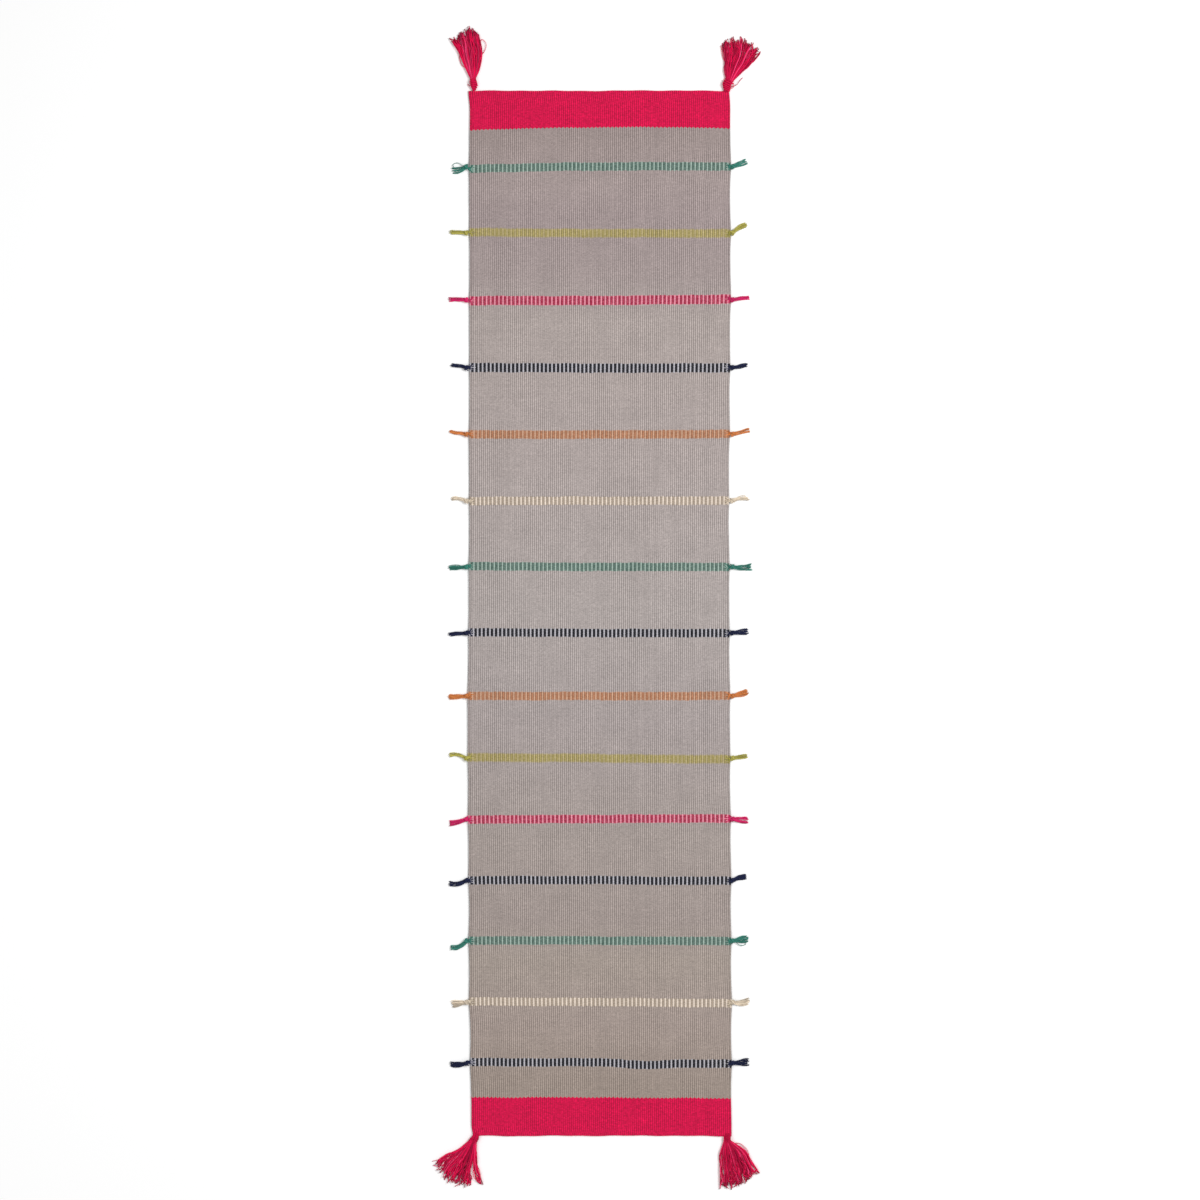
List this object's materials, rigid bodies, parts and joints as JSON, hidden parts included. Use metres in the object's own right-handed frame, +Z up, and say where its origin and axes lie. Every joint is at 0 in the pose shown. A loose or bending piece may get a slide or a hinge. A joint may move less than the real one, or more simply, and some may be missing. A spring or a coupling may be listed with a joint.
{
  "type": "runner rug",
  "caption": "Long flat-woven cotton runner with contrasting end bands, narrow cross stripes, a tied yarn tuft at each stripe end and a tassel at each corner.",
  "frame": {"origin": "middle of the cloth on its underside, on the floor", "axes": "+X across the rug, +Y along it towards the head end, +Z up out of the floor"},
  "size_m": [0.7523, 2.6761, 0.0133],
  "materials": {
    "ground": "ribbed flat weave, warm grey with a lengthwise fade",
    "crimson_band": "ribbed flat weave, solid crimson",
    "tassel_yarn": "twisted cotton yarn, cut ends",
    "green_stripe": "green pattern weft floated over every second rib of the grey ground",
    "green_yarn": "twisted cotton yarn, cut ends",
    "yellow_stripe": "yellow pattern weft floated over every second rib of the grey ground",
    "yellow_yarn": "twisted cotton yarn, cut ends",
    "pink_stripe": "pink pattern weft floated over every second rib of the grey ground",
    "pink_yarn": "twisted cotton yarn, cut ends",
    "navy_stripe": "navy pattern weft floated over every second rib of the grey ground",
    "navy_yarn": "twisted cotton yarn, cut ends",
    "orange_stripe": "orange pattern weft floated over every second rib of the grey ground",
    "orange_yarn": "twisted cotton yarn, cut ends",
    "cream_stripe": "cream pattern weft floated over every second rib of the grey ground",
    "cream_yarn": "twisted cotton yarn, cut ends"
  },
  "bodies": {
    "foot_half": {"ground_foot": "ground", "end_band_foot": "crimson_band", "stripe_08_navy": "navy_stripe", "stripe_09_orange": "orange_stripe", "stripe_10_yellow": "yellow_stripe", "stripe_11_pink": "pink_stripe", "stripe_12_navy": "navy_stripe", "stripe_13_green": "green_stripe", "stripe_14_cream": "cream_stripe", "stripe_15_navy": "navy_stripe"},
    "head_half": {"ground_head": "ground", "end_band_head": "crimson_band", "stripe_01_green": "green_stripe", "stripe_02_yellow": "yellow_stripe", "stripe_03_pink": "pink_stripe", "stripe_04_navy": "navy_stripe", "stripe_05_orange": "orange_stripe", "stripe_06_cream": "cream_stripe", "stripe_07_green": "green_stripe"},
    "tuft_01_left": {"tuft_01_left": "green_yarn"},
    "tuft_01_right": {"tuft_01_right": "green_yarn"},
    "tuft_02_left": {"tuft_02_left": "yellow_yarn"},
    "tuft_02_right": {"tuft_02_right": "yellow_yarn"},
    "tuft_03_left": {"tuft_03_left": "pink_yarn"},
    "tuft_03_right": {"tuft_03_right": "pink_yarn"},
    "tuft_04_left": {"tuft_04_left": "navy_yarn"},
    "tuft_04_right": {"tuft_04_right": "navy_yarn"},
    "tuft_05_left": {"tuft_05_left": "orange_yarn"},
    "tuft_05_right": {"tuft_05_right": "orange_yarn"},
    "tuft_06_left": {"tuft_06_left": "cream_yarn"},
    "tuft_06_right": {"tuft_06_right": "cream_yarn"},
    "tuft_07_left": {"tuft_07_left": "green_yarn"},
    "tuft_07_right": {"tuft_07_right": "green_yarn"},
    "tuft_08_left": {"tuft_08_left": "navy_yarn"},
    "tuft_08_right": {"tuft_08_right": "navy_yarn"},
    "tuft_09_left": {"tuft_09_left": "orange_yarn"},
    "tuft_09_right": {"tuft_09_right": "orange_yarn"},
    "tuft_10_left": {"tuft_10_left": "yellow_yarn"},
    "tuft_10_right": {"tuft_10_right": "yellow_yarn"},
    "tuft_11_left": {"tuft_11_left": "pink_yarn"},
    "tuft_11_right": {"tuft_11_right": "pink_yarn"},
    "tuft_12_left": {"tuft_12_left": "navy_yarn"},
    "tuft_12_right": {"tuft_12_right": "navy_yarn"},
    "tuft_13_left": {"tuft_13_left": "green_yarn"},
    "tuft_13_right": {"tuft_13_right": "green_yarn"},
    "tuft_14_left": {"tuft_14_left": "cream_yarn"},
    "tuft_14_right": {"tuft_14_right": "cream_yarn"},
    "tuft_15_left": {"tuft_15_left": "navy_yarn"},
    "tuft_15_right": {"tuft_15_right": "navy_yarn"},
    "tassel_knot_head_left": {"tassel_knot_head_left": "tassel_yarn"},
    "tassel_skirt_head_left": {"tassel_skirt_head_left": "tassel_yarn"},
    "tassel_knot_head_right": {"tassel_knot_head_right": "tassel_yarn"},
    "tassel_skirt_head_right": {"tassel_skirt_head_right": "tassel_yarn"},
    "tassel_knot_foot_left": {"tassel_knot_foot_left": "tassel_yarn"},
    "tassel_skirt_foot_left": {"tassel_skirt_foot_left": "tassel_yarn"},
    "tassel_knot_foot_right": {"tassel_knot_foot_right": "tassel_yarn"},
    "tassel_skirt_foot_right": {"tassel_skirt_foot_right": "tassel_yarn"}
  },
  "joints": [
    {"name": "centre_fold", "type": "hinge", "parent": "foot_half", "child": "head_half", "pos_m": [0, 0.029, 0.0125], "axis": [1, 0, 0], "range_deg": [0, 179.5]},
    {"name": "tassel_lift_head_left", "type": "hinge", "parent": "tassel_knot_head_left", "child": "tassel_skirt_head_left", "pos_m": [-0.29032, 1.23406, 0.0053], "axis": [-0.9816, -0.1908, 0], "range_deg": [-80, 0]},
    {"name": "tassel_lift_head_right", "type": "hinge", "parent": "tassel_knot_head_right", "child": "tassel_skirt_head_right", "pos_m": [0.2951, 1.23388, 0.0053], "axis": [-0.9397, 0.342, 0], "range_deg": [-80, 0]},
    {"name": "tassel_lift_foot_left", "type": "hinge", "parent": "tassel_knot_foot_left", "child": "tassel_skirt_foot_left", "pos_m": [-0.291, -1.22661, 0.0053], "axis": [0.891, -0.454, 0], "range_deg": [-80, 0]},
    {"name": "tassel_lift_foot_right", "type": "hinge", "parent": "tassel_knot_foot_right", "child": "tassel_skirt_foot_right", "pos_m": [0.29191, -1.22608, 0.0053], "axis": [0.9397, 0.342, 0], "range_deg": [-80, 0]},
    {"name": "tassel_swing_head_left", "type": "hinge", "parent": "head_half", "child": "tassel_knot_head_left", "pos_m": [-0.289, 1.2088, 0.0068], "axis": [0, 0, 1], "range_deg": [-30, 30]},
    {"name": "tassel_swing_head_right", "type": "hinge", "parent": "head_half", "child": "tassel_knot_head_right", "pos_m": [0.292, 1.2118, 0.0068], "axis": [0, 0, 1], "range_deg": [-30, 30]},
    {"name": "tassel_swing_foot_left", "type": "hinge", "parent": "foot_half", "child": "tassel_knot_foot_left", "pos_m": [-0.281, -1.2078, 0.0068], "axis": [0, 0, 1], "range_deg": [-30, 30]},
    {"name": "tassel_swing_foot_right", "type": "hinge", "parent": "foot_half", "child": "tassel_knot_foot_right", "pos_m": [0.291, -1.2088, 0.0068], "axis": [0, 0, 1], "range_deg": [-30, 30]},
    {"name": "tuft_swing_01_left", "type": "hinge", "parent": "head_half", "child": "tuft_01_left", "pos_m": [-0.3063, 1.025, 0.00555], "axis": [0, 0, 1], "range_deg": [-30, 30]},
    {"name": "tuft_swing_01_right", "type": "hinge", "parent": "head_half", "child": "tuft_01_right", "pos_m": [0.3063, 1.025, 0.00555], "axis": [0, 0, 1], "range_deg": [-30, 30]},
    {"name": "tuft_swing_02_left", "type": "hinge", "parent": "head_half", "child": "tuft_02_left", "pos_m": [-0.3063, 0.873, 0.00555], "axis": [0, 0, 1], "range_deg": [-30, 30]},
    {"name": "tuft_swing_02_right", "type": "hinge", "parent": "head_half", "child": "tuft_02_right", "pos_m": [0.3063, 0.873, 0.00555], "axis": [0, 0, 1], "range_deg": [-30, 30]},
    {"name": "tuft_swing_03_left", "type": "hinge", "parent": "head_half", "child": "tuft_03_left", "pos_m": [-0.3063, 0.719, 0.00555], "axis": [0, 0, 1], "range_deg": [-30, 30]},
    {"name": "tuft_swing_03_right", "type": "hinge", "parent": "head_half", "child": "tuft_03_right", "pos_m": [0.3063, 0.719, 0.00555], "axis": [0, 0, 1], "range_deg": [-30, 30]},
    {"name": "tuft_swing_04_left", "type": "hinge", "parent": "head_half", "child": "tuft_04_left", "pos_m": [-0.3063, 0.563, 0.00555], "axis": [0, 0, 1], "range_deg": [-30, 30]},
    {"name": "tuft_swing_04_right", "type": "hinge", "parent": "head_half", "child": "tuft_04_right", "pos_m": [0.3063, 0.563, 0.00555], "axis": [0, 0, 1], "range_deg": [-30, 30]},
    {"name": "tuft_swing_05_left", "type": "hinge", "parent": "head_half", "child": "tuft_05_left", "pos_m": [-0.3063, 0.41, 0.00555], "axis": [0, 0, 1], "range_deg": [-30, 30]},
    {"name": "tuft_swing_05_right", "type": "hinge", "parent": "head_half", "child": "tuft_05_right", "pos_m": [0.3063, 0.41, 0.00555], "axis": [0, 0, 1], "range_deg": [-30, 30]},
    {"name": "tuft_swing_06_left", "type": "hinge", "parent": "head_half", "child": "tuft_06_left", "pos_m": [-0.3063, 0.257, 0.00555], "axis": [0, 0, 1], "range_deg": [-30, 30]},
    {"name": "tuft_swing_06_right", "type": "hinge", "parent": "head_half", "child": "tuft_06_right", "pos_m": [0.3063, 0.257, 0.00555], "axis": [0, 0, 1], "range_deg": [-30, 30]},
    {"name": "tuft_swing_07_left", "type": "hinge", "parent": "head_half", "child": "tuft_07_left", "pos_m": [-0.3063, 0.105, 0.00555], "axis": [0, 0, 1], "range_deg": [-30, 30]},
    {"name": "tuft_swing_07_right", "type": "hinge", "parent": "head_half", "child": "tuft_07_right", "pos_m": [0.3063, 0.105, 0.00555], "axis": [0, 0, 1], "range_deg": [-30, 30]},
    {"name": "tuft_swing_08_left", "type": "hinge", "parent": "foot_half", "child": "tuft_08_left", "pos_m": [-0.3063, -0.047, 0.00555], "axis": [0, 0, 1], "range_deg": [-30, 30]},
    {"name": "tuft_swing_08_right", "type": "hinge", "parent": "foot_half", "child": "tuft_08_right", "pos_m": [0.3063, -0.047, 0.00555], "axis": [0, 0, 1], "range_deg": [-30, 30]},
    {"name": "tuft_swing_09_left", "type": "hinge", "parent": "foot_half", "child": "tuft_09_left", "pos_m": [-0.3063, -0.192, 0.00555], "axis": [0, 0, 1], "range_deg": [-30, 30]},
    {"name": "tuft_swing_09_right", "type": "hinge", "parent": "foot_half", "child": "tuft_09_right", "pos_m": [0.3063, -0.192, 0.00555], "axis": [0, 0, 1], "range_deg": [-30, 30]},
    {"name": "tuft_swing_10_left", "type": "hinge", "parent": "foot_half", "child": "tuft_10_left", "pos_m": [-0.3063, -0.335, 0.00555], "axis": [0, 0, 1], "range_deg": [-30, 30]},
    {"name": "tuft_swing_10_right", "type": "hinge", "parent": "foot_half", "child": "tuft_10_right", "pos_m": [0.3063, -0.335, 0.00555], "axis": [0, 0, 1], "range_deg": [-30, 30]},
    {"name": "tuft_swing_11_left", "type": "hinge", "parent": "foot_half", "child": "tuft_11_left", "pos_m": [-0.3063, -0.475, 0.00555], "axis": [0, 0, 1], "range_deg": [-30, 30]},
    {"name": "tuft_swing_11_right", "type": "hinge", "parent": "foot_half", "child": "tuft_11_right", "pos_m": [0.3063, -0.475, 0.00555], "axis": [0, 0, 1], "range_deg": [-30, 30]},
    {"name": "tuft_swing_12_left", "type": "hinge", "parent": "foot_half", "child": "tuft_12_left", "pos_m": [-0.3063, -0.616, 0.00555], "axis": [0, 0, 1], "range_deg": [-30, 30]},
    {"name": "tuft_swing_12_right", "type": "hinge", "parent": "foot_half", "child": "tuft_12_right", "pos_m": [0.3063, -0.616, 0.00555], "axis": [0, 0, 1], "range_deg": [-30, 30]},
    {"name": "tuft_swing_13_left", "type": "hinge", "parent": "foot_half", "child": "tuft_13_left", "pos_m": [-0.3063, -0.755, 0.00555], "axis": [0, 0, 1], "range_deg": [-30, 30]},
    {"name": "tuft_swing_13_right", "type": "hinge", "parent": "foot_half", "child": "tuft_13_right", "pos_m": [0.3063, -0.755, 0.00555], "axis": [0, 0, 1], "range_deg": [-30, 30]},
    {"name": "tuft_swing_14_left", "type": "hinge", "parent": "foot_half", "child": "tuft_14_left", "pos_m": [-0.3063, -0.896, 0.00555], "axis": [0, 0, 1], "range_deg": [-30, 30]},
    {"name": "tuft_swing_14_right", "type": "hinge", "parent": "foot_half", "child": "tuft_14_right", "pos_m": [0.3063, -0.896, 0.00555], "axis": [0, 0, 1], "range_deg": [-30, 30]},
    {"name": "tuft_swing_15_left", "type": "hinge", "parent": "foot_half", "child": "tuft_15_left", "pos_m": [-0.3063, -1.036, 0.00555], "axis": [0, 0, 1], "range_deg": [-30, 30]},
    {"name": "tuft_swing_15_right", "type": "hinge", "parent": "foot_half", "child": "tuft_15_right", "pos_m": [0.3063, -1.036, 0.00555], "axis": [0, 0, 1], "range_deg": [-30, 30]}
  ]
}
